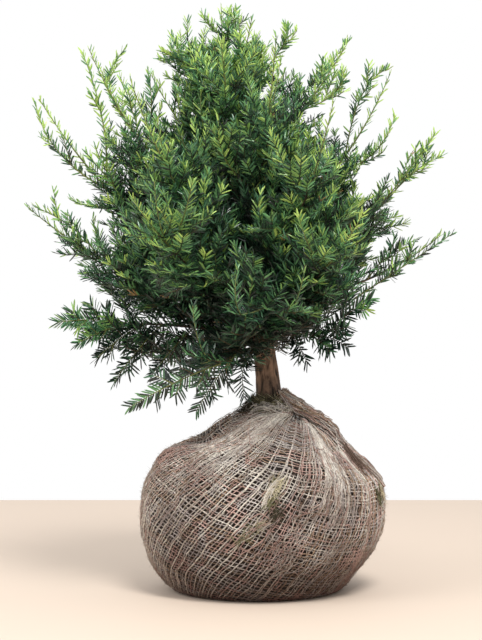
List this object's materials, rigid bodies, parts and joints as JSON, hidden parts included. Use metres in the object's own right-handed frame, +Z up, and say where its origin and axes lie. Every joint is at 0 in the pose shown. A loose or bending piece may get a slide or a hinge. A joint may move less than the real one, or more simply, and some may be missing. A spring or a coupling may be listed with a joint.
{
  "type": "yew sapling with burlap root ball",
  "caption": "Young bushy yew with a short leaning trunk and a dense upswept needled crown, standing on a round root ball wrapped and tied in open-weave burlap.",
  "frame": {"origin": "middle of the root ball's flat underside", "axes": "+Z up, -Y the front of the plant, +X to the right seen from the front"},
  "size_m": [0.6058, 0.5202, 0.8526],
  "materials": {
    "burlap": "coarse open weave, weathered",
    "burlap_tie": "twisted coarse cloth",
    "bark": "thin flaking bark, matte",
    "needles": "waxy flat needles, slightly glossy"
  },
  "bodies": {
    "root": {"root_ball": "burlap", "burlap_tie": "burlap_tie", "trunk": "bark", "bough_skirt_1": "bark", "bough_skirt_2": "bark", "bough_skirt_3": "bark", "bough_skirt_4": "bark", "bough_low_1": "bark", "bough_low_2": "bark", "bough_low_3": "bark", "bough_low_4": "bark", "bough_wide_1": "bark", "bough_wide_2": "bark", "bough_wide_3": "bark", "bough_wide_4": "bark", "bough_wide_5": "bark", "bough_wide_6": "bark", "bough_main_1": "bark", "bough_main_2": "bark", "bough_main_3": "bark", "bough_main_4": "bark", "bough_main_5": "bark", "bough_main_6": "bark", "bough_upper_1": "bark", "bough_upper_2": "bark", "bough_upper_3": "bark", "bough_upper_4": "bark", "needles_skirt_1": "needles", "needles_skirt_2": "needles", "needles_skirt_3": "needles", "needles_skirt_4": "needles", "needles_low_1": "needles", "needles_low_2": "needles", "needles_low_3": "needles", "needles_low_4": "needles", "needles_wide_1": "needles", "needles_wide_2": "needles", "needles_wide_3": "needles", "needles_wide_4": "needles", "needles_wide_5": "needles", "needles_wide_6": "needles", "needles_main_1": "needles", "needles_main_2": "needles", "needles_main_3": "needles", "needles_main_4": "needles", "needles_main_5": "needles", "needles_main_6": "needles", "needles_upper_1": "needles", "needles_upper_2": "needles", "needles_upper_3": "needles", "needles_upper_4": "needles", "needles_top_1": "needles", "needles_top_2": "needles", "needles_top_3": "needles", "needles_top_4": "needles", "needles_spire_1": "needles", "needles_spire_2": "needles", "needles_spire_3": "needles", "needles_leader": "needles"}
  },
  "joints": []
}
